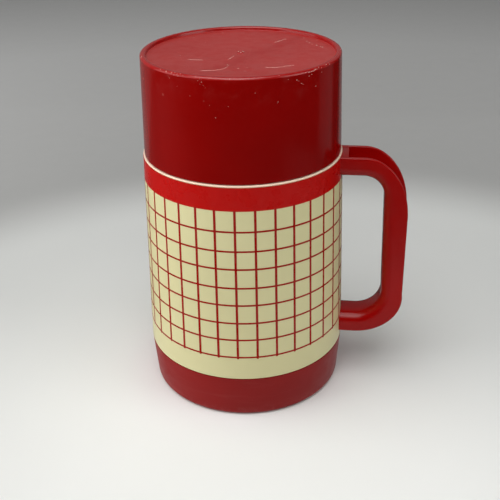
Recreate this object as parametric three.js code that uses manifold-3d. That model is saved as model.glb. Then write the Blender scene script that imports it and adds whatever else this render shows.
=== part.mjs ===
// A wide-mouth vacuum flask. A silvered glass filler stands on a screw-on base. A tapered jacket with a
// carrying handle goes down over it, a threaded stopper closes the mouth, and an insulated cup screws on top.
// Millimetres, +Z up. The origin is on the axis, at the underside of the base. The handle points along +X.
import * as THREE from "three";
import { mergeVertices } from "three/addons/utils/BufferGeometryUtils.js";
import Module from "manifold-3d";

const wasm = await Module();
wasm.setup();

// ---- Driving dimensions ----
const GAP = 0.3; // between two pieces that sit against each other
const WALL = 2; // moulded plastic walls
const GLASS = 1.5; // glass walls

const BODY_RADIUS = 54.2; // base and jacket where they meet
const BODY_TAPER = 0.0239; // radius that the jacket loses for each millimetre of height
const FOOT_RADIUS = 52.2; // base, just above its rounded bottom edge
const FOOT_ROUND = 3;

const BASE_TOP = 25.1;
const SPIGOT_RADIUS = 50.6; // the base's threaded collar, inside the jacket
const SPIGOT_TOP = 35.2;
const JACKET_BOTTOM = BASE_TOP + GAP;
const JACKET_TOP = 133.2;
const FLANGE_RADIUS = 51.55; // the neck's pale rim that shows below the cup
const FLANGE_TOP = 134.15;
const NECK_RADIUS = 47;
const NECK_TOP = 146.5;
const BORE_RADIUS = 43; // where the stopper screws in
const LEDGE_TOP = 133; // where the stopper's gasket seats

const CUP_BOTTOM = FLANGE_TOP + GAP;
const CUP_TOP = 185.4;
const CUP_MOUTH_RADIUS = 51;
const CUP_TOP_RADIUS = 49.7;
const CUP_WALL = 1.9;
const RIM_HEIGHT = 1.5; // raised rim round the cup's flat end
const LINER_BOTTOM = 147.2;
const LINER_TOP = 180.1;

const LIP_TOP = 128.4; // the glass mouth
const MOUTH_RADIUS = 34.5;
const INNER_GLASS_RADIUS = 41.3;
const OUTER_GLASS_RADIUS = 46;

const STOPPER_RADIUS = 41.4;
const STOPPER_TOP = 146.9;
const PLUG_RADIUS = 33.4;
const PLUG_BOTTOM = 119.3;

// Every screw thread has two starts: each half turn moves it by one pitch.
const STARTS = 2;
const LEAD = 8;
const RIDGE_WIDTH = 1.3;
const HALF_PITCH = LEAD / STARTS / 2; // a ridge runs this far under the ridge that holds it down
const BASE_THREAD_BOTTOM = 29.6;
const NECK_THREAD_BOTTOM = 138;
const BORE_THREAD_BOTTOM = 139.6;
const JACKET_THREAD_BOTTOM = BASE_THREAD_BOTTOM - HALF_PITCH;
const CUP_THREAD_BOTTOM = NECK_THREAD_BOTTOM - HALF_PITCH;
const STOPPER_THREAD_BOTTOM = BORE_THREAD_BOTTOM - HALF_PITCH;
const SHORT_THREAD = 0.5; // turns
const LONG_THREAD = 0.75;
const CREST = { spigot: 51.6, jacket: 51.1, neck: 48.2, cup: 47.6, bore: 41.9, stopper: 42.5 };

// The handle is a channel moulding, open outwards, bent round two corners. Its open edges follow the outer
// line and its finger side the inner line. Each line has an arm at the top and at the bottom, and two bends
// that are quarter ellipses about (x, z).
const OUTER_LINE = {
  top: 133.3,
  bottom: 29.9,
  upper: { x: 63.2, z: 100.6, radiusX: 23.5, radiusZ: 32.7 },
  lower: { x: 61.35, z: 52.1, radiusX: 25.75, radiusZ: 22.2 },
};
const INNER_LINE = {
  top: 122.2,
  bottom: 40.7,
  upper: { x: 63.2, z: 111, radiusX: 10.8, radiusZ: 11.2 },
  lower: { x: 61.35, z: 54.7, radiusX: 14, radiusZ: 14 },
};
const HANDLE_WIDTH = 19;
const HANDLE_SIDE = 2;
const HANDLE_WEB = 2.6;
const HANDLE_EDGE_ROUND = 6; // finger side of the channel
const HANDLE_END_WALL = 3.3; // closes the channel where it meets the jacket
const HANDLE_START = 47; // inside the jacket, before the handle is cut to meet it
// The tongues that pass through the jacket and hook behind its wall.
const UPPER_TONGUE = { low: 124.5, high: 128, lipLow: 122.5, lipHigh: 128 };
const LOWER_TONGUE = { low: 36.6, high: 39.6, lipLow: 36.6, lipHigh: 42 };
const TONGUE_HALF_WIDTH = 4.2;

// Facets round a full turn. A ridge's facets lie on the same angles as the wall that it stands on.
const FINE = 40;
const COARSE = 32;

// ---- Shaping helpers ----
const jacketRadius = (z) => BODY_RADIUS - BODY_TAPER * (z - BASE_TOP);

// A turned geometry from [radius, height] points, taken anticlockwise round the material.
function turned(profile, segments = FINE) {
  const points = profile.map(([radius, height]) => new THREE.Vector2(radius, height));
  if (profile[0][0] > 0) points.push(points[0].clone());
  return new THREE.LatheGeometry(points, segments).rotateX(Math.PI / 2);
}

// Points on an ellipse about (r, z), from angle `from` to angle `to` in degrees, for a turned profile.
function arc(r, z, radiusR, radiusZ, from, to, steps) {
  return Array.from({ length: steps + 1 }, (_, i) => {
    const angle = THREE.MathUtils.degToRad(from + ((to - from) * i) / steps);
    return [r + radiusR * Math.cos(angle), z + radiusZ * Math.sin(angle)];
  });
}

// A box between two corners.
function block(low, high) {
  const size = high.map((value, i) => value - low[i]);
  const middle = high.map((value, i) => (value + low[i]) / 2);
  return new THREE.BoxGeometry(...size).translate(...middle);
}

function solid(geometry) {
  const bare = geometry.clone();
  bare.deleteAttribute("normal");
  bare.deleteAttribute("uv");
  const merged = mergeVertices(bare);
  return new wasm.Manifold(
    new wasm.Mesh({
      numProp: 3,
      vertProperties: merged.attributes.position.array,
      triVerts: new Uint32Array(merged.index.array),
    }),
  );
}

function geometryOf(manifold) {
  const mesh = manifold.getMesh();
  return new THREE.BufferGeometry()
    .setAttribute("position", new THREE.BufferAttribute(mesh.vertProperties, 3))
    .setIndex(new THREE.BufferAttribute(mesh.triVerts, 1));
}

// Joins the added geometries to a body, then cuts the removed ones from it.
function shaped(body, added = [], removed = []) {
  const joined = added.reduce((whole, geometry) => whole.add(solid(geometry)), solid(body));
  const cut = removed.reduce((whole, geometry) => whole.subtract(solid(geometry)), joined);
  return geometryOf(cut);
}

// The ridges of a right-hand thread. Each is a straight bar of tapered section wrapped round the axis.
// `wall` is the radius of the surface that carries it and `tip` the radius of its crest.
function thread({ wall, tip, bottom, turns, segments = FINE }) {
  const sunk = 0.5 * Math.sign(wall - tip);
  const section = new THREE.Shape([
    new THREE.Vector2(wall + sunk, RIDGE_WIDTH / 2),
    new THREE.Vector2(tip, RIDGE_WIDTH / 4),
    new THREE.Vector2(tip, -RIDGE_WIDTH / 4),
    new THREE.Vector2(wall + sunk, -RIDGE_WIDTH / 2),
  ]);
  const sweep = turns * 2 * Math.PI;
  const steps = Math.round(turns * segments);
  return Array.from({ length: STARTS }, (_, start) => {
    const bar = new THREE.ExtrudeGeometry(section, { depth: sweep, steps, bevelEnabled: false });
    const at = bar.attributes.position;
    for (let i = 0; i < at.count; i++) {
      const turn = at.getZ(i);
      const angle = turn + (start * 2 * Math.PI) / STARTS;
      const height = bottom + (LEAD * turn) / (2 * Math.PI) - at.getY(i);
      at.setXYZ(i, at.getX(i) * Math.cos(angle), at.getX(i) * Math.sin(angle), height);
    }
    return bar;
  });
}

// ---- Materials ----
const moulded = (color, roughness) => new THREE.MeshStandardMaterial({ color, roughness, metalness: 0 });
const glossRed = () => moulded(0x9c0f0b, 0.28);
const dullRed = () => moulded(0x8a2420, 0.45);
const cream = () => moulded(0xd6cfa4, 0.4);
const ivory = () => moulded(0xe2dcc4, 0.45);
const rubber = () => moulded(0xb9b4a6, 0.8);
const foam = () => moulded(0xe8e2c8, 0.95);
const silvered = () => new THREE.MeshStandardMaterial({ color: 0xc9ced0, roughness: 0.08, metalness: 0.95 });

function piece(name, geometry, material) {
  const mesh = new THREE.Mesh(geometry, material);
  mesh.name = name;
  return mesh;
}

// ---- Base and glass filler ----
// The screw-on base: a shallow cup with a flat hub and a standing ring under it. The threaded spigot on top
// goes into the jacket.
function baseCup() {
  const floor = 3;
  const hollow = 1.2; // the underside between hub and standing ring is raised by this much
  const body = turned([
    [0, 0],
    [14, 0],
    [14.8, hollow],
    [43.5, hollow],
    [44.5, 0],
    ...arc(FOOT_RADIUS - FOOT_ROUND, FOOT_ROUND, FOOT_ROUND, FOOT_ROUND, -90, 0, 3),
    [BODY_RADIUS, BASE_TOP],
    [SPIGOT_RADIUS, BASE_TOP],
    [SPIGOT_RADIUS, SPIGOT_TOP - 0.4],
    [SPIGOT_RADIUS - 0.4, SPIGOT_TOP],
    [SPIGOT_RADIUS - WALL, SPIGOT_TOP],
    [SPIGOT_RADIUS - WALL, BASE_TOP + 1.5],
    [BODY_RADIUS - 2.8, BASE_TOP - 2.6],
    [FOOT_RADIUS - WALL, 5],
    [FOOT_RADIUS - WALL - 2, floor],
    [0, floor],
  ]);
  const ridges = thread({
    wall: SPIGOT_RADIUS,
    tip: CREST.spigot,
    bottom: BASE_THREAD_BOTTOM,
    turns: SHORT_THREAD,
  });
  return piece("base_cup", shaped(body, ridges), dullRed());
}

// The rubber cushion that the glass stands on. Its middle is open for the glass tip.
function baseCushion() {
  const body = turned(
    [
      [8, 3.3],
      [29, 3.3],
      [30, 4.3],
      [30, 16.8],
      [28, 17.2],
      [18, 14.9],
      [8, 13.6],
    ],
    COARSE,
  );
  return piece("base_cushion", body, rubber());
}

// The outer wall of the filler: domed at the bottom, with the sealed tip that it was evacuated through.
function outerFlask() {
  const shoulder = 106;
  const neck = 39.4;
  const domeTop = 34;
  const inside = OUTER_GLASS_RADIUS - GLASS;
  const body = turned(
    [
      [0, 8.5],
      [1.8, 9.4],
      [2.4, 13.9],
      ...arc(0, domeTop, OUTER_GLASS_RADIUS, 20, -78, 0, 5),
      [OUTER_GLASS_RADIUS, shoulder],
      ...arc(neck + 1.5, shoulder, 5.1, 11, 20, 80, 2),
      [neck, 119],
      [neck, 126.2],
      [neck - GLASS, 126.2],
      [neck - GLASS, 118.2],
      ...arc(neck, shoulder, 5.1, 11, 80, 20, 2),
      [inside, shoulder],
      ...arc(0, domeTop, inside, 18.5, 0, -78, 5),
      [0, 15.5],
    ],
    COARSE,
  );
  return piece("outer_flask", body, silvered());
}

// The inner wall of the filler, which holds the drink or food. Its lip turns outwards over the outer wall.
function innerFlask() {
  const shoulder = 104;
  const domeTop = 40;
  const inside = INNER_GLASS_RADIUS - GLASS;
  const body = turned(
    [
      [0, 24],
      ...arc(0, domeTop, INNER_GLASS_RADIUS, 16, -75, 0, 4),
      [INNER_GLASS_RADIUS, shoulder],
      ...arc(MOUTH_RADIUS + GLASS + 0.8, shoulder, 4.5, 11, 20, 80, 2),
      [MOUTH_RADIUS + GLASS, 118],
      [MOUTH_RADIUS + GLASS, 126.5],
      [39.4, 126.5],
      [39.9, 127.5],
      [38.8, LIP_TOP],
      [35.4, LIP_TOP],
      [MOUTH_RADIUS, 127.4],
      [MOUTH_RADIUS, 117.2],
      ...arc(MOUTH_RADIUS + 0.8, shoulder, 4.5, 11, 80, 20, 2),
      [inside, shoulder],
      ...arc(0, domeTop, inside, 14.5, 0, -75, 4),
      [0, 25.5],
    ],
    COARSE,
  );
  return piece("inner_flask", body, silvered());
}

// A small pad that keeps the two glass walls apart.
function spacerPad(index, count) {
  const height = 62;
  const radius = 4;
  const thickness = 2.1;
  const body = new THREE.CylinderGeometry(radius, radius, thickness, 12).rotateZ(Math.PI / 2);
  const pad = piece(`spacer_pad_${index + 1}`, body, foam());
  pad.position.set(INNER_GLASS_RADIUS + 0.4 + thickness / 2, 0, height);
  const place = new THREE.Group();
  place.rotation.z = (index * 2 * Math.PI) / count;
  place.add(pad);
  return place;
}

// A soft ring round the filler's shoulder, which centres it in the jacket.
function shoulderRing() {
  const body = turned([
    [46.6, 94],
    [49.4, 94],
    [49.8, 95],
    [49.8, 103],
    [49.4, 104],
    [46.6, 104],
  ]);
  return piece("shoulder_ring", body, rubber());
}

// ---- Casing ----
function jacket() {
  const wallAt = (z) => jacketRadius(z) - WALL;
  const body = turned([
    [wallAt(JACKET_BOTTOM), JACKET_BOTTOM],
    [jacketRadius(JACKET_BOTTOM), JACKET_BOTTOM],
    [jacketRadius(JACKET_TOP), JACKET_TOP],
    [wallAt(JACKET_TOP), JACKET_TOP],
  ]);
  const ridges = thread({
    wall: wallAt(BASE_TOP),
    tip: CREST.jacket,
    bottom: JACKET_THREAD_BOTTOM,
    turns: SHORT_THREAD,
  });
  const play = 0.4; // round each of the handle's tongues
  const across = TONGUE_HALF_WIDTH + play;
  const slots = [UPPER_TONGUE, LOWER_TONGUE].map(({ low, high }) =>
    block([45, -across, low - play], [60, across, high + play]),
  );
  return piece("jacket", shaped(body, ridges, slots), cream());
}

// The neck: a pale rim on top of the jacket, a screw thread outside for the cup and inside for the stopper,
// and a ledge that takes the gasket above and the mouth seal below.
function neckCollar() {
  const ledgeRadius = 35.4;
  const ledgeBottom = 130.8;
  const flangeBottom = JACKET_TOP + GAP;
  const skirtRadius = 49.2;
  const skirtBottom = 129.4;
  const bead = 0.25; // rounding of the pale rim's edges
  const body = turned([
    [ledgeRadius, ledgeBottom],
    [46.6, ledgeBottom],
    [46.6, skirtBottom],
    [skirtRadius, skirtBottom],
    [skirtRadius, flangeBottom],
    [FLANGE_RADIUS - bead, flangeBottom],
    [FLANGE_RADIUS, flangeBottom + bead],
    [FLANGE_RADIUS, FLANGE_TOP - bead],
    [FLANGE_RADIUS - bead, FLANGE_TOP],
    [NECK_RADIUS, FLANGE_TOP],
    [NECK_RADIUS, NECK_TOP - 0.5],
    [NECK_RADIUS - 0.5, NECK_TOP],
    [BORE_RADIUS + 0.5, NECK_TOP],
    [BORE_RADIUS, NECK_TOP - 0.5],
    [BORE_RADIUS, LEDGE_TOP],
    [ledgeRadius, LEDGE_TOP],
  ]);
  const cupThread = thread({
    wall: NECK_RADIUS,
    tip: CREST.neck,
    bottom: NECK_THREAD_BOTTOM,
    turns: LONG_THREAD,
  });
  const stopperThread = thread({
    wall: BORE_RADIUS,
    tip: CREST.bore,
    bottom: BORE_THREAD_BOTTOM,
    turns: SHORT_THREAD,
  });
  return piece("neck_collar", shaped(body, [...cupThread, ...stopperThread]), cream());
}

// The rubber ring between the glass lip and the neck's ledge.
function mouthSeal() {
  const body = turned(
    [
      [35, 128.7],
      [40.2, 128.7],
      [40.6, 129.6],
      [40.2, 130.5],
      [35, 130.5],
    ],
    COARSE,
  );
  return piece("mouth_seal", body, rubber());
}

// Where a line from a hub inside an ellipse crosses it.
function crossing(hub, direction, { x, z, radiusX, radiusZ }) {
  const from = new THREE.Vector2((hub.x - x) / radiusX, (hub.z - z) / radiusZ);
  const step = new THREE.Vector2(direction.x / radiusX, direction.y / radiusZ);
  const half = from.dot(step) / step.lengthSq();
  const rest = (from.lengthSq() - 1) / step.lengthSq();
  const reach = Math.sqrt(half * half - rest) - half;
  return new THREE.Vector2(hub.x, hub.z).addScaledVector(direction, reach);
}

// Pairs of points on the handle's outer and inner lines, from the top arm to the bottom arm.
function handleStations() {
  const bend = (name, from, to) =>
    arc(0, 0, 1, 1, from, to, 8).map(([x, z]) => {
      const direction = new THREE.Vector2(x, z);
      const hub = INNER_LINE[name];
      return [crossing(hub, direction, OUTER_LINE[name]), crossing(hub, direction, hub)];
    });
  const upper = bend("upper", 90, 0);
  const lower = bend("lower", 0, -90);
  const [gripTop, gripBottom] = [upper[upper.length - 1], lower[0]];
  const outward = new THREE.Vector2(1, 0);
  const grip = [108, 104.5, OUTER_LINE.upper.z].map((z) => {
    const share = (gripTop[1].y - z) / (gripTop[1].y - gripBottom[1].y);
    const inner = gripTop[1].clone().lerp(gripBottom[1], share);
    return [crossing({ x: inner.x, z }, outward, OUTER_LINE.upper), inner];
  });
  const armEnd = (end) =>
    [OUTER_LINE, INNER_LINE].map((line) => new THREE.Vector2(HANDLE_START, line[end]));
  return [armEnd("top"), ...upper, ...grip, ...lower, armEnd("bottom")];
}

// The channel's section at a station, as [x, y, z] points. Each half has the same points mirrored in y.
function handleSection([outer, inner]) {
  const half = HANDLE_WIDTH / 2;
  const side = half - HANDLE_SIDE;
  const depth = outer.distanceTo(inner);
  const round = HANDLE_EDGE_ROUND;
  const right = [
    [HANDLE_WEB, side - 1],
    [HANDLE_WEB + 1, side],
    [depth, side],
    [depth, half],
    ...arc(round, half - round, -round, round, 90, 0, 3),
  ];
  const left = right.map(([rise, y]) => [rise, -y]).reverse();
  return [...right, ...left].map(([rise, y]) => {
    const point = inner.clone().lerp(outer, rise / depth);
    return [point.x, y, point.y];
  });
}

// A closed body through rings of equally many points. `flat` gives a ring's points in its own plane.
function swept(rings, flat) {
  const count = rings[0].length;
  const last = (rings.length - 1) * count;
  const index = [];
  for (let start = 0; start < last; start += count) {
    for (let k = 0; k < count; k++) {
      const [a, b] = [start + k, start + ((k + 1) % count)];
      index.push(a, b + count, b, a, a + count, b + count);
    }
  }
  for (const [a, b, c] of THREE.ShapeUtils.triangulateShape(rings[0].map(flat), [])) {
    index.push(a, c, b);
    index.push(last + a, last + b, last + c);
  }
  return new THREE.BufferGeometry()
    .setAttribute("position", new THREE.Float32BufferAttribute(rings.flat(2), 3))
    .setIndex(index);
}

// The carrying handle. A tongue at each end passes through the jacket and hooks behind its wall.
function handle() {
  const rings = handleStations().map(handleSection);
  const channel = swept(rings, ([, y, z]) => new THREE.Vector2(y, z));
  const beyond = 10; // past each end of the jacket
  const meets = (z) => jacketRadius(z) + GAP;
  const jacketClearance = turned([
    [0, BASE_TOP - beyond],
    [meets(BASE_TOP - beyond), BASE_TOP - beyond],
    [meets(JACKET_TOP + beyond), JACKET_TOP + beyond],
    [0, JACKET_TOP + beyond],
  ]);
  const inset = 0.4; // the end walls stop this far inside the channel's open edges
  const sunk = 0.2; // and reach this far into its web and sides
  const half = HANDLE_WIDTH / 2 - HANDLE_SIDE + sunk;
  const rise = HANDLE_WEB - sunk;
  const endWalls = [
    [INNER_LINE.top + rise, OUTER_LINE.top - inset],
    [OUTER_LINE.bottom + inset, INNER_LINE.bottom - rise],
  ].map(([low, high]) => {
    const reach = jacketRadius((low + high) / 2) + HANDLE_END_WALL;
    return block([HANDLE_START, -half, low], [reach, half, high]);
  });
  const arms = shaped(channel, endWalls, [jacketClearance]);
  const hooks = [UPPER_TONGUE, LOWER_TONGUE].flatMap(({ low, high, lipLow, lipHigh }) => {
    const inner = jacketRadius(low) - WALL;
    const width = TONGUE_HALF_WIDTH;
    return [
      block([inner - 2.1, -width, low], [inner + WALL + 1, width, high]),
      block([inner - 2.1, -width, lipLow], [inner - 0.6, width, lipHigh]),
    ];
  });
  return piece("handle", shaped(arms, hooks), glossRed());
}

// ---- Stopper ----
// The threaded stopper shell: a narrow plug goes into the glass mouth, under a wider threaded part.
function stopperBody() {
  const shoulder = 135.4;
  const skin = 1.7;
  const segments = COARSE;
  const profile = [
    [0, PLUG_BOTTOM],
    [30.5, PLUG_BOTTOM],
    [PLUG_RADIUS, PLUG_BOTTOM + 2.4],
    [PLUG_RADIUS, shoulder],
    [STOPPER_RADIUS - 0.4, shoulder],
    [STOPPER_RADIUS, shoulder + 0.4],
    [STOPPER_RADIUS, STOPPER_TOP],
    [STOPPER_RADIUS - skin, STOPPER_TOP],
    [STOPPER_RADIUS - skin, shoulder + skin],
    [PLUG_RADIUS - skin, shoulder + skin],
    [PLUG_RADIUS - skin, PLUG_BOTTOM + skin + 1.4],
    [30, PLUG_BOTTOM + skin],
    [0, PLUG_BOTTOM + skin],
  ];
  const body = turned(profile, segments);
  const ridges = thread({
    wall: STOPPER_RADIUS,
    tip: CREST.stopper,
    bottom: STOPPER_THREAD_BOTTOM,
    turns: SHORT_THREAD,
    segments,
  });
  return piece("stopper_body", shaped(body, ridges), ivory());
}

// The insulation that fills the stopper.
function stopperFoam() {
  const body = turned(
    [
      [0, 121.4],
      [29, 121.4],
      [31.2, 123.6],
      [31.2, 137.5],
      [39, 137.5],
      [39, 146.5],
      [0, 146.5],
    ],
    COARSE,
  );
  return piece("stopper_foam", body, foam());
}

// The lid of the stopper, with a raised rim and a bar across it to turn it by.
function stopperCap() {
  const bottom = STOPPER_TOP + GAP;
  const deck = bottom + 2;
  const top = bottom + 5.2;
  const rim = 43.2;
  const profile = [
    [0, bottom],
    [rim - 0.5, bottom],
    [rim, bottom + 0.5],
    [rim - 0.7, top - 0.6],
    [rim - 1.3, top],
    [rim - 2.6, top],
    [rim - 3.4, deck],
    [0, deck],
  ];
  const body = turned(profile, COARSE);
  const bar = block([1.5 - rim, -4, deck - 1], [rim - 1.5, 4, top - 0.6]);
  return piece("stopper_cap", shaped(body, [bar]), ivory());
}

// The gasket under the stopper's shoulder, which closes it on the neck's ledge.
function stopperGasket() {
  const body = turned(
    [
      [33.9, 133.3],
      [39.6, 133.3],
      [40, 134.2],
      [39.6, 135.1],
      [33.9, 135.1],
    ],
    COARSE,
  );
  return piece("stopper_gasket", body, rubber());
}

// ---- Cup ----
// The outside of the cup. Upside down it is the flask's lid: its foot is the raised rim round the flat end.
function cupShell() {
  const end = CUP_TOP - RIM_HEIGHT;
  const under = end - WALL;
  const inner = CUP_MOUTH_RADIUS - CUP_WALL;
  const innerTop = CUP_TOP_RADIUS - CUP_WALL;
  const body = turned([
    [0, under],
    [innerTop - 1, under],
    [innerTop, under - 1],
    [inner, CUP_BOTTOM + 0.3],
    [inner + 0.3, CUP_BOTTOM],
    [CUP_MOUTH_RADIUS - 0.3, CUP_BOTTOM],
    [CUP_MOUTH_RADIUS, CUP_BOTTOM + 0.3],
    [CUP_TOP_RADIUS, CUP_TOP - 1.4],
    [CUP_TOP_RADIUS - 0.3, CUP_TOP - 0.5],
    [CUP_TOP_RADIUS - 0.9, CUP_TOP],
    [CUP_TOP_RADIUS - 1.8, CUP_TOP],
    [CUP_TOP_RADIUS - 2.3, CUP_TOP - 0.4],
    [CUP_TOP_RADIUS - 2.5, end],
    [0, end],
  ]);
  const ridges = thread({
    wall: inner,
    tip: CREST.cup,
    bottom: CUP_THREAD_BOTTOM,
    turns: LONG_THREAD,
  });
  return piece("cup_shell", shaped(body, ridges), glossRed());
}

// The inside of the cup, with an air space between it and the shell.
function cupLiner() {
  const skin = 1.5;
  const profile = [
    [0, LINER_TOP - skin],
    [42.8, LINER_TOP - skin],
    [44.2, LINER_TOP - skin - 1.4],
    [45.4, LINER_BOTTOM],
    [48.3, LINER_BOTTOM],
    [48.3, LINER_BOTTOM + skin],
    [46.9, LINER_BOTTOM + skin],
    [45.8, LINER_TOP - 2],
    [43.8, LINER_TOP],
    [0, LINER_TOP],
  ];
  return piece("cup_liner", turned(profile, COARSE), dullRed());
}

// ---- Assembly ----
const PADS = 3;
const pads = Array.from({ length: PADS }, (_, index) => spacerPad(index, PADS));
const assemblies = [
  [baseCup(), baseCushion(), outerFlask(), innerFlask(), ...pads, shoulderRing()],
  [mouthSeal(), neckCollar(), jacket(), handle()],
  [stopperGasket(), stopperBody(), stopperFoam(), stopperCap()],
  [cupLiner(), cupShell()],
];

const flask = new THREE.Group();
for (const pieces of assemblies) {
  const assembly = new THREE.Group();
  assembly.add(...pieces);
  flask.add(assembly);
}

export default flask;
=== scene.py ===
"""The vacuum flask's looks: fine meshes and materials, a pale floor and soft studio light."""
import math
import random

import bmesh
import bpy
from mathutils import Matrix, Vector


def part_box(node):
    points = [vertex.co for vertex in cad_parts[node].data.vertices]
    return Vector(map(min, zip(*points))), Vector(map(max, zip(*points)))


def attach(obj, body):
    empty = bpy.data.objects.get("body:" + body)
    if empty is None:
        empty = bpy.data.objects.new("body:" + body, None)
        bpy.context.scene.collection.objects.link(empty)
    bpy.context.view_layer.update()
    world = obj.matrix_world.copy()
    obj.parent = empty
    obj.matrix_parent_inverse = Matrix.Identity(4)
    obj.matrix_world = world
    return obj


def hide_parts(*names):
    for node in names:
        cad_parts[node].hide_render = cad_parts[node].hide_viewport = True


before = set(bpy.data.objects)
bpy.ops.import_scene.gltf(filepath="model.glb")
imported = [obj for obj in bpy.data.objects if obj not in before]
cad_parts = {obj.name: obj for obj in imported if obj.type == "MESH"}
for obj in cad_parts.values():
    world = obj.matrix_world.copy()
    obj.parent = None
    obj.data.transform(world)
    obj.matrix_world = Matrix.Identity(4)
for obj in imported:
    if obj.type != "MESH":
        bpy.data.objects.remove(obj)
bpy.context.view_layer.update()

MM = 0.001  # outlines below are in millimetres, and every mesh is in metres
FULL_TURN = 2 * math.pi

for leftover in ("Cube", "Light", "Camera"):
    if leftover in bpy.data.objects:
        bpy.data.objects.remove(bpy.data.objects[leftover])

random.seed(7)


def low(node):
    """The node's lowest corner in millimetres."""
    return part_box(node)[0] / MM


def high(node):
    """The node's highest corner in millimetres."""
    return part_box(node)[1] / MM


def placed(name, data):
    """A new object in the scene from its mesh, light or camera data."""
    made = bpy.data.objects.new(name, data)
    bpy.context.scene.collection.objects.link(made)
    return made


# -------- camera

CAMERA_AT = Vector((0.0575, -0.4092, 0.2924))
CAMERA_YAW = math.radians(7.63)
CAMERA_PITCH = math.radians(-27.94)
CAMERA_ROLL = math.radians(1.10)
FOCAL_LENGTH = 60.7
SENSOR = 36.0


def make_camera():
    data = bpy.data.cameras.new("camera")
    data.lens = FOCAL_LENGTH
    data.sensor_width = SENSOR
    data.clip_start = 0.01
    data.clip_end = 50
    camera = placed("camera", data)
    turn = Matrix.Rotation(CAMERA_YAW, 4, "Z") @ Matrix.Rotation(CAMERA_PITCH, 4, "X")
    roll = Matrix.Rotation(CAMERA_ROLL, 4, "Y") @ Matrix.Rotation(math.pi / 2, 4, "X")
    camera.matrix_world = Matrix.Translation(CAMERA_AT) @ turn @ roll
    bpy.context.scene.camera = camera


make_camera()


# -------- materials


class Finish:
    """A procedural material: a Principled shader, and short ways to add the nodes that vary it."""

    def __init__(self, name, **values):
        self.material = bpy.data.materials.new(name)
        self.material.use_nodes = True
        self.nodes = self.material.node_tree.nodes
        self.links = self.material.node_tree.links
        self.shader = self.nodes["Principled BSDF"]
        self.shader.inputs["Specular IOR Level"].default_value = 0.25
        for socket, value in values.items():
            self.shader.inputs[socket.replace("_", " ")].default_value = value
        self.place = self.node("ShaderNodeTexCoord").outputs["Object"]
        self.bumped = None

    def node(self, kind, inputs=(), **settings):
        made = self.nodes.new(kind)
        for key, value in settings.items():
            setattr(made, key, value)
        for key, value in dict(inputs).items():
            self.feed(value, made.inputs[key])
        return made

    def feed(self, value, socket):
        if isinstance(value, bpy.types.NodeSocket):
            self.links.new(value, socket)
        else:
            socket.default_value = value

    def noise(self, size, detail=2.0, stretch=(1, 1, 1), roughness=0.5):
        """Noise from 0 to 1 whose blotches are about `size` millimetres across."""
        stretched = self.node("ShaderNodeMapping", {"Vector": self.place, "Scale": stretch})
        inputs = {"Vector": stretched.outputs[0], "Scale": 1 / (size * MM), "Detail": detail}
        return self.node("ShaderNodeTexNoise", {**inputs, "Roughness": roughness}).outputs[0]

    def speckle(self, size, share):
        """1 in small spots that lie in about that share of the cells, and 0 between them."""
        inputs = {"Vector": self.place, "Scale": 1 / (size * MM)}
        cells = self.node("ShaderNodeTexVoronoi", inputs)
        chosen = self.spread(cells.outputs["Color"], 1 - share, 1 - share + 0.02, 0, 1)
        spot = self.spread(cells.outputs["Distance"], 0.18, 0.3, 1, 0)
        return self.times(chosen, spot)

    def scratches(self, size, stretch, width):
        """Thin lines where stretched noise crosses its middle value."""
        value = self.noise(size, 1.0, stretch)
        distance = self.math("ABSOLUTE", self.math("SUBTRACT", value, 0.5))
        return self.spread(distance, 0.0, width, 1, 0)

    def along(self, axis):
        """The position along an axis, in metres."""
        return self.node("ShaderNodeSeparateXYZ", {"Vector": self.place}).outputs[axis]

    def height_mask(self, from_mm, to_mm):
        """0 below the first height and 1 above the second."""
        return self.spread(self.along("Z"), from_mm * MM, to_mm * MM, 0, 1)

    def spread(self, value, from_low, from_high, to_low, to_high, soft=False):
        inputs = {0: value, 1: from_low, 2: from_high, 3: to_low, 4: to_high}
        shape = "SMOOTHSTEP" if soft else "LINEAR"
        return self.node("ShaderNodeMapRange", inputs, interpolation_type=shape).outputs[0]

    def blotches(self, size, detail, *limits, **noise):
        """Noise spread from one range to another."""
        return self.spread(self.noise(size, detail, **noise), *limits)

    def math(self, operation, first, second=0.0):
        return self.node("ShaderNodeMath", {0: first, 1: second}, operation=operation).outputs[0]

    def times(self, first, second):
        return self.math("MULTIPLY", first, second)

    def mix(self, share, first, second):
        """A colour between two colours."""
        made = self.node("ShaderNodeMix", data_type="RGBA")
        self.feed(share, made.inputs[0])
        self.feed(first, made.inputs[6])
        self.feed(second, made.inputs[7])
        return made.outputs[2]

    def colour(self, value):
        self.feed(value, self.shader.inputs["Base Color"])
        return self

    def roughness(self, value):
        self.feed(value, self.shader.inputs["Roughness"])

    def bump(self, height, depth):
        """Adds a bump: `height` from 0 to 1 raises the surface by up to `depth` millimetres."""
        inputs = {"Height": height, "Distance": depth * MM, "Strength": 1.0}
        made = self.node("ShaderNodeBump", inputs)
        if self.bumped:
            self.links.new(self.bumped, made.inputs["Normal"])
        self.bumped = made.outputs[0]
        self.links.new(self.bumped, self.shader.inputs["Normal"])


def rgb(red, green, blue):
    return (red, green, blue, 1.0)


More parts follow.
